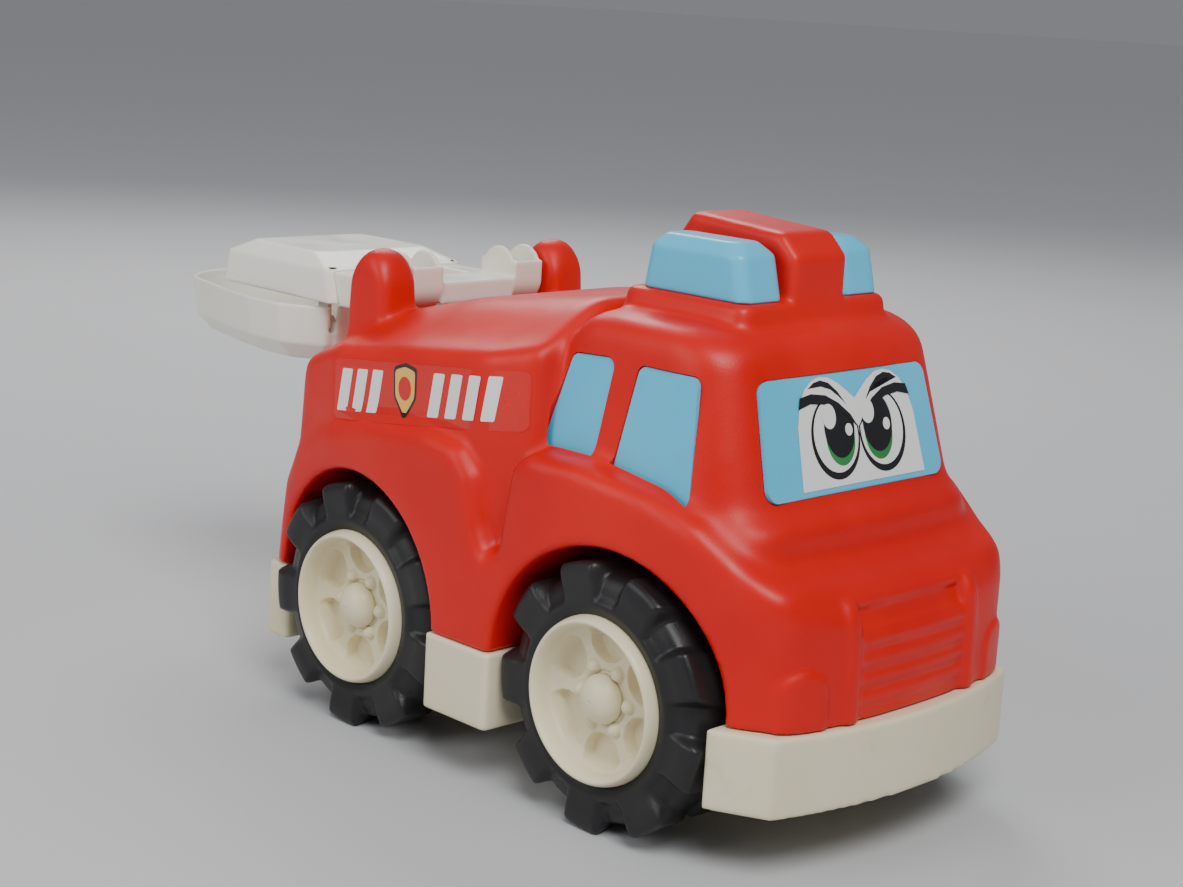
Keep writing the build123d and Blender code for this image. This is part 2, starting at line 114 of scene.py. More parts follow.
def ramp(node, source, low, high, out_low, out_high):
    """Maps source from low..high to out_low..out_high, clamped."""
    made = node("ShaderNodeMapRange", {"Value": source})
    for socket, value in (("From Min", low), ("From Max", high), ("To Min", out_low), ("To Max", out_high)):
        made.inputs[socket].default_value = value
    return made.outputs["Result"]


def mix_colour(node, factor, first, second):
    """Mixes two colours by factor; each may be a tuple or a socket."""
    made = node("ShaderNodeMix", data_type="RGBA")
    links = made.id_data.links
    links.new(factor, made.inputs["Factor"])
    for socket, value in ((made.inputs[6], first), (made.inputs[7], second)):
        if isinstance(value, tuple):
            socket.default_value = value
        else:
            links.new(value, socket)
    return made.outputs[2]


def moulded_plastic(name, colour, worn, gloss, grain, wave, coat=0.0, scuffs=0.0, dirt=None):
    """Moulded toy plastic: slight colour drift, soft waviness, fine grain, scuffs and edge wear."""
    material, shader, coords, node, link = new_material(name)
    drift = noise(node, coords, 9.0, 4.0)
    patch = ramp(node, drift, 0.35, 0.68, 0.0, 1.0)
    base = mix_colour(node, patch, colour, worn)
    if dirt:
        smudge = ramp(node, noise(node, coords, 26.0, 8.0, 0.7), 0.56, 0.78, 0.0, 0.55)
        base = mix_colour(node, smudge, base, dirt)
    if scuffs:
        stretch = node("ShaderNodeMapping", {"Vector": coords.outputs["Object"]})
        stretch.inputs["Scale"].default_value = (1.0, 1.0, 5.0)
        marks = node("ShaderNodeTexNoise", {"Vector": stretch.outputs["Vector"]}, Scale=70.0, Detail=8.0)
        marks.inputs["Roughness"].default_value = 0.75
        mark_mask = ramp(node, marks.outputs["Fac"], 0.66, 0.74, 0.0, scuffs)
        base = mix_colour(node, mark_mask, base, worn)
    link.new(base, shader.inputs["Base Color"])
    rough = ramp(node, noise(node, coords, 34.0, 5.0), 0.3, 0.7, gloss - 0.07, gloss + 0.09)
    link.new(rough, shader.inputs["Roughness"])
    shader.inputs["Coat Weight"].default_value = coat
    shader.inputs["Coat Roughness"].default_value = 0.12
    shader.inputs["Specular IOR Level"].default_value = 0.36
    wave_bump = node("ShaderNodeBump", {"Height": noise(node, coords, 22.0, 2.0)}, Strength=wave)
    wave_bump.inputs["Distance"].default_value = 0.004
    grain_bump = node(
        "ShaderNodeBump", {"Height": noise(node, coords, 900.0, 3.0), "Normal": wave_bump.outputs["Normal"]},
        Strength=grain,
    )
    grain_bump.inputs["Distance"].default_value = 0.0006
    link.new(grain_bump.outputs["Normal"], shader.inputs["Normal"])
    return material


def make_materials():
    """Every material on the object, by name."""
    return {
        "red": moulded_plastic(
            "red_plastic", (0.62, 0.0008, 0.0, 1), (0.72, 0.006, 0.0008, 1), 0.40, 0.16, 0.14, 0.0, 0.35,
        ),
        "cream": moulded_plastic(
            "cream_plastic", (0.78, 0.69, 0.45, 1), (0.83, 0.76, 0.55, 1), 0.36, 0.08, 0.08, 0.05, 0.3,
            (0.62, 0.53, 0.36, 1),
        ),
        "boom": moulded_plastic(
            "boom_plastic", (0.88, 0.86, 0.74, 1), (0.91, 0.90, 0.81, 1), 0.33, 0.06, 0.06, 0.10,
        ),
        "blue": moulded_plastic(
            "sky_blue_plastic", (0.08, 0.53, 0.80, 1), (0.12, 0.58, 0.84, 1), 0.33, 0.08, 0.06, 0.15,
        ),
        "tyre": moulded_plastic(
            "tyre_plastic", (0.010, 0.010, 0.011, 1), (0.020, 0.020, 0.021, 1), 0.36, 0.22, 0.30, 0.0, 0.5,
        ),
        "print_red": moulded_plastic(
            "print_red", (0.62, 0.006, 0.002, 1), (0.68, 0.009, 0.003, 1), 0.24, 0.05, 0.10, 0.4,
        ),
        "print_white": moulded_plastic(
            "print_white", (0.83, 0.83, 0.80, 1), (0.87, 0.87, 0.85, 1), 0.25, 0.05, 0.05, 0.4,
        ),
        "print_gold": moulded_plastic(
            "print_gold", (0.80, 0.42, 0.05, 1), (0.90, 0.56, 0.12, 1), 0.25, 0.05, 0.05, 0.4,
        ),
        "print_black": moulded_plastic(
            "print_black", (0.008, 0.008, 0.010, 1), (0.014, 0.014, 0.016, 1), 0.22, 0.05, 0.05, 0.4,
        ),
        "print_green": moulded_plastic(
            "print_green", (0.02, 0.20, 0.05, 1), (0.04, 0.32, 0.08, 1), 0.22, 0.05, 0.05, 0.4,
        ),
        "steel": moulded_plastic(
            "zinc_steel", (0.42, 0.42, 0.43, 1), (0.55, 0.55, 0.56, 1), 0.35, 0.10, 0.05,
        ),
    }


def floor_material():
    """Pale studio floor, lighter far from the object so that it meets the surroundings."""
    material, shader, coords, node, link = new_material("studio_floor")
    reach = node("ShaderNodeVectorMath", {"Vector": coords.outputs["Object"]}, operation="LENGTH")
    far = ramp(node, reach.outputs["Value"], 0.4, 2.8, 0.0, 1.0)
    base = mix_colour(node, far, (0.56, 0.565, 0.575, 1), (0.93, 0.93, 0.935, 1))
    link.new(base, shader.inputs["Base Color"])
    link.new(ramp(node, noise(node, coords, 3.0), 0.3, 0.7, 0.62, 0.72), shader.inputs["Roughness"])
    return material


# ---- mesh helpers ------------------------------------------------------------------------------
def mesh_object(name, vertices, faces, material):
    """A mesh object from vertex and face arrays, in metres."""
    mesh = bpy.data.meshes.new(name)
    vertices = np.asarray(vertices, dtype=np.float32)
    faces = np.asarray(faces, dtype=np.int32)
    mesh.vertices.add(len(vertices))
    mesh.vertices.foreach_set("co", vertices.ravel())
    mesh.loops.add(faces.size)
    mesh.loops.foreach_set("vertex_index", faces.ravel())
    mesh.polygons.add(len(faces))
    mesh.polygons.foreach_set("loop_start", np.arange(0, faces.size, faces.shape[1], dtype=np.int32))
    mesh.polygons.foreach_set("use_smooth", np.full(len(faces), True))
    mesh.update(calc_edges=True)
    mesh.validate()
    mesh.materials.append(material)
    obj = bpy.data.objects.new(name, mesh)
    bpy.context.scene.collection.objects.link(obj)
    return obj


def apply_modifiers(obj):
    """Replaces the object's mesh with its modified one."""
    graph = bpy.context.evaluated_depsgraph_get()
    mesh = bpy.data.meshes.new_from_object(obj.evaluated_get(graph))
    obj.modifiers.clear()
    obj.data = mesh


def sharpen(obj, angle_deg):
    """Smooth shading with the edges above the angle kept sharp."""
    obj.data.polygons.foreach_set("use_smooth", np.full(len(obj.data.polygons), True))
    obj.data.set_sharp_from_angle(angle=math.radians(angle_deg))


def soften(node_name, piece_name, material, body, slot, voxel, passes):
    """Stands in for a CAD node with the same shape, its corners rounded as a mould leaves them."""
    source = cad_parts[node_name]
    obj = bpy.data.objects.new(piece_name, source.data.copy())
    bpy.context.scene.collection.objects.link(obj)
    weld = obj.modifiers.new("weld", "WELD")
    weld.merge_threshold = 0.00001
    remesh = obj.modifiers.new("remesh", "REMESH")
    remesh.mode = "VOXEL"
    remesh.voxel_size = voxel
    relax = obj.modifiers.new("relax", "SMOOTH")
    relax.factor = 0.5
    relax.iterations = passes
    apply_modifiers(obj)
    obj.data.materials.clear()
    obj.data.materials.append(material)
    obj.data.polygons.foreach_set("use_smooth", np.full(len(obj.data.polygons), True))
    finish_piece(obj, body, slot, node_name)


def finish_piece(obj, body, slot, *nodes):
    """Rides a piece on its body and hides the CAD nodes that it stands for; the slot argument is not used."""
    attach(obj, body)
    if nodes:
        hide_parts(*nodes)


# ---- signed distance helpers, in millimetres -------------------------------------------------
def polygon_distance(u, v, points):
    """Signed distance from (u, v) to a closed polygon, negative inside."""
    best = np.full(np.broadcast(u, v).shape, 1e9)
    inside = np.zeros(best.shape, dtype=bool)
    count = len(points)
    for i in range(count):
        (u0, v0), (u1, v1) = points[i], points[(i + 1) % count]
        du, dv = u1 - u0, v1 - v0
        t = np.clip(((u - u0) * du + (v - v0) * dv) / (du * du + dv * dv), 0, 1)
        best = np.minimum(best, (u - u0 - t * du) ** 2 + (v - v0 - t * dv) ** 2)
        crosses = (v0 > v) != (v1 > v)
        if dv:
            inside ^= crosses & (u < (v - v0) * du / dv + u0)
    return np.where(inside, -1, 1) * np.sqrt(best)


def smooth_max(a, b, k):
    """Intersection of two distances with its edge rounded over k."""
    h = np.clip(0.5 - 0.5 * (b - a) / k, 0, 1)
    return b * (1 - h) + a * h + k * h * (1 - h)


def smooth_min(a, b, k):
    """Union of two distances with its crease filled over k."""
    return -smooth_max(-a, -b, k)


def blur(field, sigma):
    """Gaussian blur along each axis; sigma in cells."""
    reach = int(math.ceil(2.5 * sigma))
    weights = np.exp(-0.5 * (np.arange(-reach, reach + 1) / sigma) ** 2)
    weights /= weights.sum()
    for axis in range(3):
        pad = [(0, 0)] * 3
        pad[axis] = (reach, reach)
        wide = np.pad(field, pad, mode="edge")
        total = np.zeros_like(field)
        for i, weight in enumerate(weights):
            part = [slice(None)] * 3
            part[axis] = slice(i, i + field.shape[axis])
            total += weight * wide[tuple(part)]
        field = total
    return field


def step(low, high, value):
    """Smooth step from 0 at low to 1 at high."""
    t = np.clip((value - low) / (high - low), 0, 1)
    return t * t * (3 - 2 * t)


def surface_nets(field, origin, cell):
    """Quad mesh of the field's zero surface."""
    below = field < 0
    shape = tuple(n - 1 for n in field.shape)
    total = np.zeros(shape + (3,), dtype=np.float32)
    count = np.zeros(shape, dtype=np.float32)
    crossings = []
    for axis in range(3):
        near = [slice(None)] * 3
        far = [slice(None)] * 3
        near[axis] = slice(0, -1)
        far[axis] = slice(1, None)
        first, second = field[tuple(near)], field[tuple(far)]
        change = below[tuple(near)] != below[tuple(far)]
        span = np.where(change, first - second, 1)
        t = np.where(change, first / span, 0)
        crossings.append(change)
        others = [a for a in range(3) if a != axis]
        for da in (0, 1):
            for db in (0, 1):
                part = [slice(None)] * 3
                part[others[0]] = slice(da, da + shape[others[0]])
                part[others[1]] = slice(db, db + shape[others[1]])
                hit = change[tuple(part)]
                count += hit
                total[..., axis] += np.where(hit, t[tuple(part)], 0)
                total[..., others[0]] += hit * da
                total[..., others[1]] += hit * db
    active = count > 0
    index = np.full(shape, -1, dtype=np.int64)
    index[active] = np.arange(active.sum())
    corner = np.argwhere(active)
    vertices = (corner + total[active] / count[active][:, None]) * cell + np.asarray(origin)
    quads = []
    for axis in range(3):
        b, c = (axis + 1) % 3, (axis + 2) % 3
        at = np.argwhere(crossings[axis])
        at = at[(at[:, b] > 0) & (at[:, c] > 0) & (at[:, b] < shape[b]) & (at[:, c] < shape[c])]
        ring = []
        for back_b, back_c in ((1, 1), (0, 1), (0, 0), (1, 0)):
            place = at.copy()
            place[:, b] -= back_b
            place[:, c] -= back_c
            ring.append(index[tuple(place.T)])
        quad = np.stack(ring, axis=1)
        flip = ~below[tuple(at.T)]
        quad[flip] = quad[flip][:, ::-1]
        quads.append(quad)
    return vertices, np.concatenate(quads)


# ---- red body ----------------------------------------------------------------------------------
SEAM_Z_MM = 86.0
CAB_LEAN_SLOPE = 14.0 / 132.0
SCREEN_SLOPE = 38.6 / 132.0
ARCHES_MM = ((-16.0, 84.0), (206.0, 84.0))


def body_field(x, y, z):
    """Distance field of the blow-moulded body, in millimetres. y is measured from the centre plane."""
    side = polygon_distance(x, z, [
        (-130, 60), (-118, 84), (-106, 146), (-92, 168), (-64, 186), (-10, 205), (56, 209), (84, 205),
        (98, 190), (105, 160), (112, 146), (121, 150), (130, 203), (142, 212), (180, 212), (232, 205),
        (264, 193), (292, 174), (316, 163), (330, 146), (336, 118), (339, 60),
    ])
    bow = 137.0 - 19.5 * ((x - 85.0) / 205.0) ** 2
    nose = 335.5 - 17.0 * (y / 104.0) ** 2
    corner = (x - 318.0) * 0.45 + (y - 104.0) * 0.89
    plan = smooth_max(smooth_max(y - bow, x - nose, 12), corner, 14)
    plan = smooth_max(plan, -119.0 - x, 14)
    fenders = smooth_max(side, plan, 11)

    shoulder = np.interp(x, [-121, -46, 130], [216, 245, 267])
    ridge = np.interp(x, [-121, -46, 20, 130], [230, 264, 281, 297])
    crown = shoulder + (ridge - shoulder) * step(0, 1, (129.0 - y) / 72.0)
    panel = np.interp(x, [-121, -46, 96, 132], [113, 126, 126, 117])
    tail = np.interp(z, [84, 158, 300], [-118, -99, -84])
    deck = smooth_max(z - crown, y - panel, 9)
    deck = smooth_max(deck, tail - x, 12)
    deck = smooth_max(deck, x - 134.0, 10)

    rise = z - 165.0
    cab_half = 113.0 - CAB_LEAN_SLOPE * rise
    cab_front = 294.4 - SCREEN_SLOPE * rise - 9.0 * (y / 100.0) ** 4
    cab_rear = 96.0 + 49.0 / 132.0 * rise
    cab = smooth_max(y - cab_half, (x - cab_front) * 0.96, 30)
    cab = smooth_max(cab, (cab_rear - x) * 0.94, 16)
    cab = smooth_max(cab, z - (298.0 - 6.0 * step(215, 268, x) - 5.0 * (y / 100.0) ** 2), 16)
    cowl = smooth_max(y - 103.0, x - (297.5 - 4.0 * (y / 100.0) ** 2), 26)
    cowl = smooth_max(smooth_max(cowl, z - 196.0, 14), 120.0 - z, 10)
    cowl = smooth_max(cowl, 150.0 - x, 8)

    body = smooth_min(fenders, deck, 5)
    body = smooth_min(body, smooth_min(cab, cowl, 8), 7)
    flange = smooth_max(np.abs(x - 194.0) - 49.0, y - 67.0, 12)
    flange = smooth_max(flange, np.abs(z - 296.0) - 11.5, 5)
    return smooth_min(body, flange, 4)


def pylon_field(x, y, z):
    """Thumb-shaped pylons that carry the boom."""
    height = z - 240.0
    half = 22.0 - 0.07 * height
    thumb = smooth_max(np.abs(x + 61.0) - half, np.abs(y - 76.0) - 15.5, 9)
    top = 303.0 - 14.0 * ((x + 61.0) / 17.0) ** 2 * 0.75 - 5.0 * ((y - 76.0) / 15.0) ** 2
    return smooth_max(thumb, (z - top) * 0.8, 8)


def strap_field(x, y, z):
    """Raised strap over the middle of the light bar."""
    side = polygon_distance(x, z, [(149, 296), (149, 336), (159, 350), (229, 345), (242, 332), (242, 296)])
    return smooth_max(side, y - 24.5, 6)


def front_relief(x, y, z):
    """Moulded grille, pillars and headlight arches on the nose, as a height above the skin."""
    on_nose = step(302, 314, x)
    inside = 1 - step(46, 49, y)
    slats = np.zeros(np.broadcast(y, z).shape)
    for slat_z in (99.0, 110.0, 121.0, 132.0):
        slats += 1.6 * (1 - step(2.2, 4.6, np.abs(z - slat_z)))
    window = inside * (1 - step(51, 53.5, np.abs(z - 100.0)))
    slot = 2.6 * inside * (1 - step(3.5, 6, np.abs(z - 144.5)))
    grille = window * (slats - 1.8) - slot
    pillar = 2.2 * (1 - step(3.4, 6.0, np.abs(y - 55.0))) * (1 - step(153, 158, z))
    arch = np.sqrt(((y - 88.0) / 16.0) ** 2 + np.maximum(z - 106.0, 0) ** 2 / 15.0 ** 2)
    lamp = 2.4 * (1 - step(0.86, 1.08, arch))
    return on_nose * (grille + pillar + lamp)


def make_body(materials):
    """The red body as one moulded skin, with seats for the window panels."""
    cell = 2.0
    lows = np.array([-128.0, -146.0, 74.0])
    highs = np.array([348.0, 146.0, 362.0])
    counts = np.ceil((highs - lows) / cell).astype(int) + 1
    axes = [lows[i] + cell * np.arange(counts[i]) for i in range(3)]
    x = axes[0][:, None, None]
    y = np.abs(axes[1])[None, :, None]
    z = axes[2][None, None, :]
    field = blur(np.broadcast_to(body_field(x, y, z), tuple(counts)).astype(np.float32), 2.8 / cell)
    trough = smooth_max(np.abs(x + 78.0) - 36.0, y - 60.2, 4)
    trough = smooth_max(trough, 252.5 - z, 4)
    field = smooth_max(field, -trough, 4)
    field = smooth_min(field, blur((pylon_field(x, y, z) + 0 * field).astype(np.float32), 2.0 / cell), 5)
    field = smooth_min(field, blur((strap_field(x, y, z) + 0 * field).astype(np.float32), 1.6 / cell), 2.5)
    field = field - front_relief(x, y, z)
    for arch_x, arch_z in ARCHES_MM:
        well = smooth_max(np.hypot(x - arch_x, z - arch_z) - 84.5, 64.0 - y, 3)
        field = smooth_max(field, -well, 4.5)
    field = smooth_max(field, SEAM_Z_MM + 0.1 - z, 2.5)
    vertices, quads = surface_nets(field.astype(np.float32), lows, cell)
    body = mesh_object("moulded_body", vertices * MM, quads, materials["red"])
    relax = body.modifiers.new("relax", "SMOOTH")
    relax.factor = 0.5
    relax.iterations = 2
    seats = window_cutters(materials["red"])
    cut = body.modifiers.new("cut", "BOOLEAN")
    cut.object = seats
    cut.operation = "DIFFERENCE"
    cut.solver = "EXACT"
    apply_modifiers(body)
    bpy.data.objects.remove(seats)
    sharpen(body, 42)
    finish_piece(body, "root", "red_plastic", "body_shell")
    return body


WINDOWS = (
    "rear_window_right", "front_window_right", "rear_window_left", "front_window_left", "windshield_panel",
)
SEAT_GAP = 0.0006     # round a window panel
SEAT_DEPTH = 0.0028   # below a panel's outer face
SEAT_PROUD = 0.0035   # above it, to clear the skin


def window_cutters(material):
    """Solids a hair larger than the window panels, deep enough to seat them."""
    joined = bmesh.new()
    for name in WINDOWS:
        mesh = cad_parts[name].data
        points = np.array([v.co[:] for v in mesh.vertices])
        centre = points.mean(axis=0)
        spread = points - centre
        normal = np.linalg.svd(spread, full_matrices=False)[2][2]
        if normal @ (1.0 if name == "windshield_panel" else 0.0, np.sign(centre[1]), 0.3) < 0:
            normal = -normal
        height = spread @ normal
        outline = points[height > height.max() - 1e-5]
        loop = hull_loop(outline, centre, normal)
        middle = loop.mean(axis=0)
        grown = [p + (p - middle) / np.linalg.norm(p - middle) * SEAT_GAP for p in loop]
        low = [joined.verts.new(p - normal * SEAT_DEPTH) for p in grown]
        high = [joined.verts.new(p + normal * SEAT_PROUD) for p in grown]
        joined.faces.new(high)
        joined.faces.new(low[::-1])
        for i in range(len(loop)):
            k = (i + 1) % len(loop)
            joined.faces.new((low[i], low[k], high[k], high[i]))
    bmesh.ops.recalc_face_normals(joined, faces=joined.faces)
    mesh = bpy.data.meshes.new("window_seats")
    joined.to_mesh(mesh)
    joined.free()
    mesh.materials.append(material)
    obj = bpy.data.objects.new("window_seats", mesh)
    bpy.context.scene.collection.objects.link(obj)
    return obj


def hull_loop(points, centre, normal):
    """The distinct points of a convex outline, in order about its normal."""
    across = np.cross(normal, (0.0, 0.0, 1.0))
    across /= np.linalg.norm(across)
    up = np.cross(across, normal)
    flat = np.c_[(points - centre) @ across, (points - centre) @ up]
    keep = np.unique(np.round(flat, 6), axis=0)
    angle = np.arctan2(keep[:, 1], keep[:, 0])
    keep = keep[np.argsort(angle)]
    height = ((points - centre) @ normal).mean()
    return centre + keep[:, :1] * across + keep[:, 1:] * up + height * normal


# ---- wheels ------------------------------------------------------------------------------------
WHEELS = {
    "wheel_rear_right": ("rear_right", -16.0, -1), "wheel_rear_left": ("rear_left", -16.0, 1),
    "wheel_front_right": ("front_right", 206.0, -1), "wheel_front_left": ("front_left", 206.0, 1),
}
WHEEL_R_MM = 80.0
LUGS = 9
SPOKES = 6
GROOVE_HALF_ANGLE = 0.15   # radians, between two lugs
SCALLOP_CENTRE_MM = 35.0   # from the wheel's axis
SCALLOP_R_MM = 14.0
BUMP_CENTRE_MM = 19.0


def polar_mesh(name, radius, height, closed, axle_x, side, material):
    """Mesh from radius and height grids (profile by angle); height is measured outboard from y = 0."""
    rows, turns = radius.shape
    angle = np.linspace(0, 2 * math.pi, turns, endpoint=False)[None, :]
    points = np.stack([
        axle_x + radius * np.cos(angle), side * height, WHEEL_R_MM + radius * np.sin(angle),
    ], axis=-1).reshape(-1, 3)
    row = np.arange(rows if closed else rows - 1)
    i, j = np.meshgrid(row, np.arange(turns), indexing="ij")
    i2, j2 = (i + 1) % rows, (j + 1) % turns
    quads = np.stack([i * turns + j, i * turns + j2, i2 * turns + j2, i2 * turns + j], axis=-1).reshape(-1, 4)
    if side < 0:
        quads = quads[:, ::-1]
    return mesh_object(name, points * MM, quads, material)


def resample(points, spacing):
    """Points spaced evenly along a polyline, in millimetres."""
    points = np.asarray(points, dtype=float)
    length = np.r_[0, np.cumsum(np.hypot(*np.diff(points, axis=0).T))]
    at = np.linspace(0, length[-1], int(length[-1] / spacing) + 1)
    return np.c_[np.interp(at, length, points[:, 0]), np.interp(at, length, points[:, 1])]


def relax_profile(points, passes):
    """Rounds a polyline's corners, keeping its ends."""
    for _ in range(passes):
        points[1:-1] = 0.25 * points[:-2] + 0.5 * points[1:-1] + 0.25 * points[2:]
    return points


def make_tyre(key, tag, axle_x, side, materials):
    """Chunky moulded tyre: bead ring, lugs that wrap the shoulder, and a staggered inner row."""
    floor_line = [(50, 129), (57.5, 132), (60, 128), (66, 127), (72, 123.5), (75.5, 114), (76, 101),
                  (75.5, 88), (72, 79), (66, 75.5), (60, 74), (57.5, 71.4), (50, 73)]
    lug_line = [(50, 129), (57.5, 132), (61.5, 130.5), (70, 131.5), (78.5, 130.5), (80.6, 127),
                (80.4, 114), (80.2, 101), (80.4, 88), (80.6, 76), (78.5, 72.5), (70, 71),
                (61.5, 72), (57.5, 71.4), (50, 73)]
    spacing = 1.6
    low = relax_profile(resample(floor_line, spacing), 4)
    high = relax_profile(resample(lug_line, spacing), 3)
    high[:, 0] = np.minimum(high[:, 0], WHEEL_R_MM)
    rows = len(high)
    at = np.linspace(0, 1, rows)
    low = np.c_[np.interp(at, np.linspace(0, 1, len(low)), low[:, 0]),
                np.interp(at, np.linspace(0, 1, len(low)), low[:, 1])]
    turns = 360
    angle = np.linspace(0, 2 * math.pi, turns, endpoint=False)[None, :]
    pitch = 2 * math.pi / LUGS
    height_here = high[:, 1][:, None]
    radius_here = high[:, 0][:, None]

    def row_mask(phase, width):
        """1 on a lug, 0 in a groove, with soft flanks; width is the groove's half angle."""
        turn = np.abs((angle - phase + pitch / 2) % pitch - pitch / 2)
        return step(width - 0.045, width + 0.045, turn)

    sweep = 0.10 * (height_here - 101.0) / 30.0
    outer = row_mask(sweep, GROOVE_HALF_ANGLE) * step(100.5, 104.0, height_here)
    inner = row_mask(pitch / 2 + sweep, GROOVE_HALF_ANGLE) * (1 - step(96.5, 100.0, height_here))
    mask = (outer + inner) * step(59.0, 62.5, radius_here)
    radius = low[:, 0][:, None] + (high[:, 0] - low[:, 0])[:, None] * mask
    height = low[:, 1][:, None] + (high[:, 1] - low[:, 1])[:, None] * mask
    seat = np.ones((1, turns))
    radius = np.concatenate([radius, 50 * seat, 50 * seat])
    height = np.concatenate([height, 78 * seat, 124 * seat])
    obj = polar_mesh(f"moulded_tyre_{tag}", radius, height, True, axle_x, side, materials["tyre"])
    finish_piece(obj, key, "tyre_black", f"tyre_{tag}")


def reach_from(radii, centre, turn):
    """Distance to a point at radius centre, seen turn radians away round the wheel's axis."""
    return np.sqrt(radii ** 2 + centre ** 2 - 2 * radii * centre * np.cos(turn))


def make_hub(key, tag, axle_x, side, materials):
    """Moulded hub: rolled rim, dish, six scalloped panels between spokes, six ball bumps."""
    turns = 288
    angle = np.linspace(0, 2 * math.pi, turns, endpoint=False)[None, :]
    sector = 2 * math.pi / SPOKES
    off_spoke = np.abs((angle + sector / 2) % sector - sector / 2)
    off_panel = sector / 2 - off_spoke
    radii = np.r_[np.linspace(9, 42.6, 68), np.linspace(42.9, 50.0, 18)][:, None]
    face = 121.0 + 4.0 * step(37, 43.5, radii) - 0.9 * (1 - step(0.4, 1.3, np.abs(radii - 15.6))) + 0 * angle
    rim = 12.2 * np.sqrt(np.clip(1 - ((radii - 46.4) / 3.6) ** 2, 0, 1))
    scallop = reach_from(radii, SCALLOP_CENTRE_MM, off_panel)
    face = face - 7.4 * step(0, 1.6, SCALLOP_R_MM - scallop) * (1 - step(38.5, 42.5, radii))
    height = np.where(radii > 42.8, 124.4 + rim, face)
    reach = reach_from(radii, BUMP_CENTRE_MM, off_spoke)
    bump = 4.6 * np.sqrt(np.clip(1 - (reach / 4.4) ** 2, 0, 1))
    height = height + bump
    radius = radii + 0 * angle
    ones = np.ones((1, turns))
    radius = np.concatenate([
        5.3 * ones, 9 * ones, radius, 50 * ones, 50 * ones, 46.5 * ones, 46.5 * ones, 5.3 * ones,
    ])
    height = np.concatenate([
        119.6 * ones, 119.6 * ones, height, 128 * ones, 74 * ones, 74 * ones, 108 * ones, 108 * ones,
    ])
    obj = polar_mesh(f"moulded_hub_{tag}", radius[::-1], height[::-1], True, axle_x, side, materials["cream"])
    finish_piece(obj, key, "cream_plastic", f"hub_{tag}")
    sharpen(obj, 60)


def make_cap(key, tag, axle_x, side, materials):
    """Domed cap over the axle's end."""
    turns = 96
    sweep = np.linspace(0.02, 1, 24) * math.pi / 2
    ones = np.ones((1, turns))
    radius = np.concatenate([(14.6 * np.sin(sweep))[:, None] * ones, 14.6 * ones, 11.0 * ones, 0.3 * ones])
    height = np.concatenate([
        (123.5 + 10.5 * np.cos(sweep))[:, None] * ones, 120.2 * ones, 124.6 * ones, 125 * ones,
    ])
    obj = polar_mesh(f"hub_dome_{tag}", radius[::-1], height[::-1], True, axle_x, side, materials["cream"])
    finish_piece(obj, key, "cream_plastic", f"hub_cap_{tag}")


# ---- prints on the side panels and the windshield ---------------------------------------------
def flat_shape(name, outline, place, material):
    """A thin print: a polygon cut into small faces, each vertex put on its surface by place(u, v)."""
    work = bmesh.new()
    verts = [work.verts.new((u, v, 0)) for u, v in outline]
    work.faces.new(verts)
    bmesh.ops.triangulate(work, faces=work.faces)
    for _ in range(3):
        long_edges = [e for e in work.edges if e.calc_length() > 9.0]
        bmesh.ops.subdivide_edges(work, edges=long_edges, cuts=1)
        bmesh.ops.triangulate(work, faces=work.faces)
    for vert in work.verts:
        vert.co = place(vert.co.x, vert.co.y)
    mesh = bpy.data.meshes.new(name)
    work.to_mesh(mesh)
    work.free()
    mesh.materials.append(material)
    obj = bpy.data.objects.new(name, mesh)
    bpy.context.scene.collection.objects.link(obj)
    return obj


def rounded(points, radius, steps=5):
    """A polygon with its corners cut to arcs."""
    out = []
    count = len(points)
    for i in range(count):
        p = Vector(points[i])
        before = (Vector(points[i - 1]) - p).normalized()
        after = (Vector(points[(i + 1) % count]) - p).normalized()
        for k in range(steps + 1):
            t = k / steps
            a = p + before * radius
            b = p + after * radius
            out.append(tuple((1 - t) ** 2 * a + 2 * t * (1 - t) * p + t * t * b))
    return out


def ellipse(u, v, half_u, half_v, steps=48):
    """Upright ellipse outline about (u, v)."""
    angles = [2 * math.pi * k / steps for k in range(steps)]
    return [(u + half_u * math.cos(a), v + half_v * math.sin(a)) for a in angles]


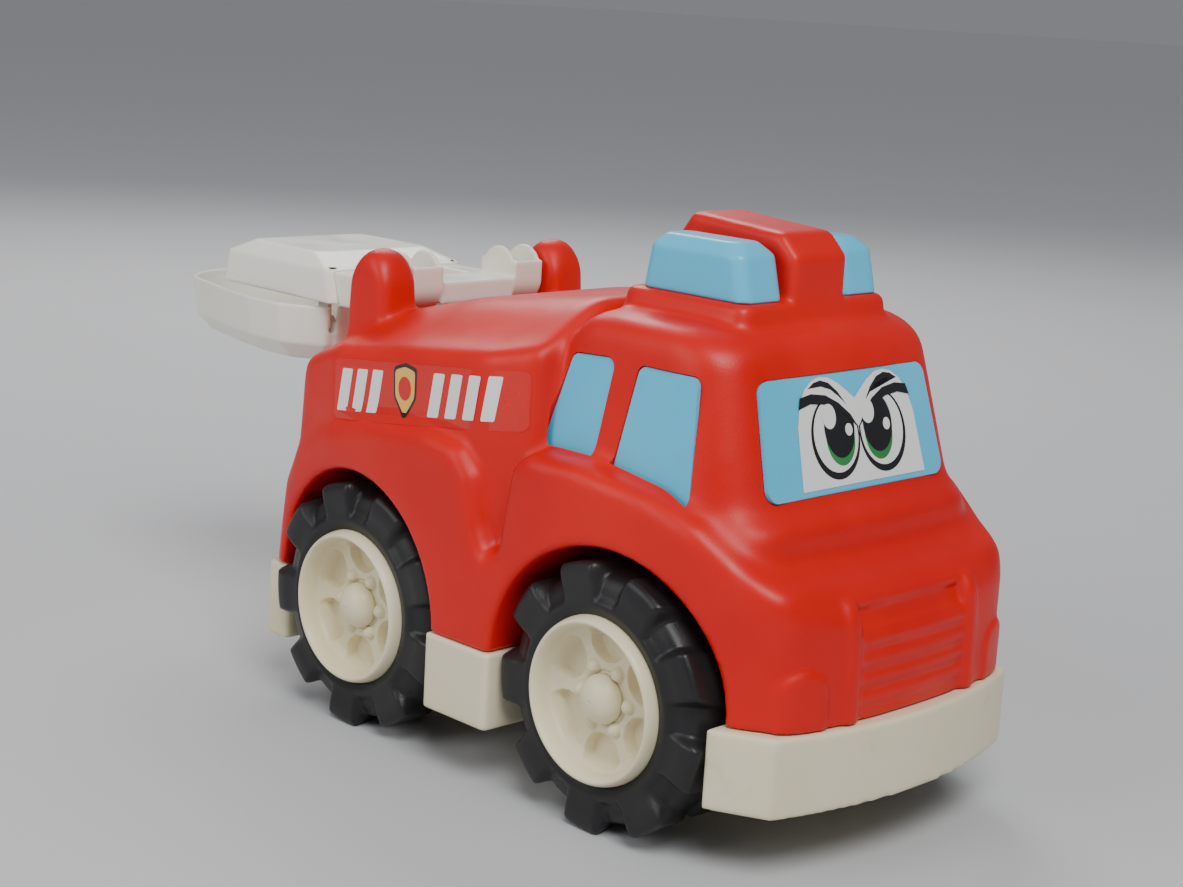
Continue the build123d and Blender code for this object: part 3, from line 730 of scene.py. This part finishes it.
def make_side_prints(body, materials):
    """Red side panel print with slanted bars and a plain shield badge, laid on the body's skin."""
    tree = BVHTree.FromObject(body, bpy.context.evaluated_depsgraph_get())
    for side_name, side in (("right", -1), ("left", 1)):
        def skin(lift):
            """Puts (x, z) in millimetres on the body's side, lift millimetres proud of it."""
            def place(u, v):
                hit = tree.ray_cast(Vector((u * MM, side * 0.2, v * MM)), Vector((0, -side, 0)))[0]
                return Vector((u * MM, hit.y + side * lift * MM, v * MM))
            return place
        base = rounded([(-44, 198), (128, 220), (128, 256), (-44, 237)], 5)
        panel = flat_shape(f"side_print_{side_name}", base, skin(0.25), materials["print_red"])
        finish_piece(panel, "root", "badge_print", f"side_sticker_{side_name}")
        for i, left in enumerate((-41, -26, -11, 47, 63, 79, 95)):
            low = 203.5 + (left + 44) * 0.128
            corners = [(left, low), (left + 10, low + 1.3), (left + 15, low + 29), (left + 5, low + 28)]
            bar = rounded(corners, 1.2, 3)
            obj = flat_shape(f"side_bar_{side_name}_{i}", bar, skin(0.4), materials["print_white"])
            finish_piece(obj, "root", "badge_print")
        shield = [(14, 241), (25, 245), (36, 243), (36, 224), (26, 209), (15, 222)]
        field = [(25.5 + (u - 25.5) * 0.86, 228 + (v - 228) * 0.86) for u, v in shield]
        for layer, outline, lift, colour in (
            ("edge", rounded(shield, 3), 0.4, "print_black"),
            ("field", rounded(field, 2.5), 0.5, "print_gold"),
            ("disc", ellipse(25.3, 229, 6.0, 7.4), 0.6, "print_red"),
        ):
            badge = flat_shape(f"badge_{layer}_{side_name}", outline, skin(lift), materials[colour])
            finish_piece(badge, "root", "badge_print")


EYES_SHIFT_MM = 6.0   # to the truck's left


def make_eyes(materials):
    """Determined cartoon eyes on a white windshield print, a little to the left of the middle."""
    lean = math.atan(SCREEN_SLOPE)
    origin = Vector((294.4, 0, 165.0)) * MM
    up = Vector((-math.sin(lean), 0, math.cos(lean)))
    out = Vector((math.cos(lean), 0, math.sin(lean)))

    def glass(lift):
        """Puts (y, distance up the screen) on the panel's face, lift millimetres proud of it."""
        def place(u, v):
            across = Vector((0, (u + EYES_SHIFT_MM) * MM, 0))
            return origin + across + up * (v * MM) + out * ((lift - 0.8) * MM)
        return place

    crest = [(56, 44), (53, 80), (49, 93), (43, 101), (36, 105.5), (29, 107), (21, 106), (13, 102), (6, 97)]
    base = crest + [(0, 92.5)] + [(-u, v) for u, v in crest[::-1]]
    backing = flat_shape("eye_backing", base, glass(0.25), materials["print_white"])
    finish_piece(backing, "root", "eye_print", "eye_sticker")
    brow = [(50.8, 90), (48.5, 96.5), (38.5, 98), (26, 96.2), (15.4, 91), (6, 83.6), (0, 75),
            (5.5, 79.5), (13.5, 84.5), (20, 87.8), (27.7, 91), (40, 92.4)]
    above_brow = [(49.5, 93.5), (39, 95.3), (26.5, 94), (16, 89), (6, 81.8), (0, 76), (0, 92),
                  (6, 96.5), (13, 101.5), (21, 105.5), (29, 106.5), (36, 105), (43, 100.5), (48.5, 93.5)]
    crease = [(40.8, 101), (35, 104), (29, 105), (22, 103), (15, 97.5), (8.5, 89.5),
              (14.5, 94.5), (21, 99), (29, 101.4)]
    for tag, sign in (("right", -1), ("left", 1)):
        layers = (
            ("rim", ellipse(sign * 21.5, 71.5, 21.5, 24.0), 0.36, "print_black"),
            ("white", ellipse(sign * 21.0, 73.0, 19.6, 21.5), 0.42, "print_white"),
            ("iris", ellipse(sign * 17.5, 71.0, 12.8, 16.0), 0.48, "print_green"),
            ("pupil", ellipse(sign * 17.5, 76.5, 13.4, 17.0), 0.54, "print_black"),
            ("lid", [(sign * u, v) for u, v in above_brow], 0.60, "print_white"),
            ("brow", [(sign * u, v) for u, v in brow], 0.66, "print_black"),
            ("crease", [(sign * u, v) for u, v in crease], 0.66, "print_black"),
            ("glint", ellipse(sign * 17.5 - 8.0, 84.0, 6.0, 7.2), 0.72, "print_white"),
            ("spark", ellipse(sign * 17.5 + 8.0, 75.0, 3.2, 3.6), 0.72, "print_white"),
        )
        for layer, outline, lift, colour in layers:
            obj = flat_shape(f"eye_{layer}_{tag}", outline, glass(lift), materials[colour])
            finish_piece(obj, "root", "eye_print")


# ---- assembly ----------------------------------------------------------------------------------
CREAM_PARTS = ("chassis_tray",)
STEEL_PARTS = ("body_screws", "push_nuts", "front_axle", "rear_axle", "bucket_pin_right", "bucket_pin_left")
BOOM_PARTS = ("boom_pivot_pin_right", "boom_pivot_pin_left")


def dress_cad_nodes(materials):
    """Gives the CAD nodes that stay visible their finished materials."""
    groups = (
        (WINDOWS, "blue"), (CREAM_PARTS, "cream"), (STEEL_PARTS, "steel"), (BOOM_PARTS, "boom"),
    )
    for names, key in groups:
        for name in names:
            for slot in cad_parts[name].material_slots:
                slot.material = materials[key]


make_camera()
make_world()
make_light("key", (1.5, -0.9, 2.2), (0.05, 0, 0.2), 1.3, 56)
make_light("fill", (-0.7, -2.3, 1.5), (0, 0, 0.2), 1.8, 26)
make_light("rim", (-1.6, 1.2, 1.9), (0, 0, 0.25), 1.2, 28)

FLOOR_CORNERS = [(-60, -60, 0), (60, -60, 0), (60, 60, 0), (-60, 60, 0)]
floor = mesh_object("floor", FLOOR_CORNERS, [(0, 1, 2, 3)], floor_material())

MATERIALS = make_materials()
dress_cad_nodes(MATERIALS)
BODY = make_body(MATERIALS)
for key, (tag, axle_x, side) in WHEELS.items():
    make_tyre(key, tag, axle_x, side, MATERIALS)
    make_hub(key, tag, axle_x, side, MATERIALS)
    make_cap(key, tag, axle_x, side, MATERIALS)
make_side_prints(BODY, MATERIALS)
make_eyes(MATERIALS)
for node_name, voxel, passes, colour, rides, slot_name in (
    ("front_bumper", 0.0016, 5, "cream", "root", "cream_plastic"),
    ("rear_bumper", 0.0016, 5, "cream", "root", "cream_plastic"),
    ("side_sill_right", 0.0014, 5, "cream", "root", "cream_plastic"),
    ("side_sill_left", 0.0014, 5, "cream", "root", "cream_plastic"),
    ("light_dome_right", 0.0012, 12, "blue", "root", "sky_blue_plastic"),
    ("light_dome_left", 0.0012, 12, "blue", "root", "sky_blue_plastic"),
    ("boom_frame", 0.0011, 4, "boom", "boom", "cream_plastic"),
    ("boom_hood", 0.0012, 7, "boom", "boom", "cream_plastic"),
    ("rescue_bucket", 0.0012, 8, "boom", "bucket", "cream_plastic"),
):
    soften(node_name, f"moulded_{node_name}", MATERIALS[colour], rides, slot_name, voxel, passes)
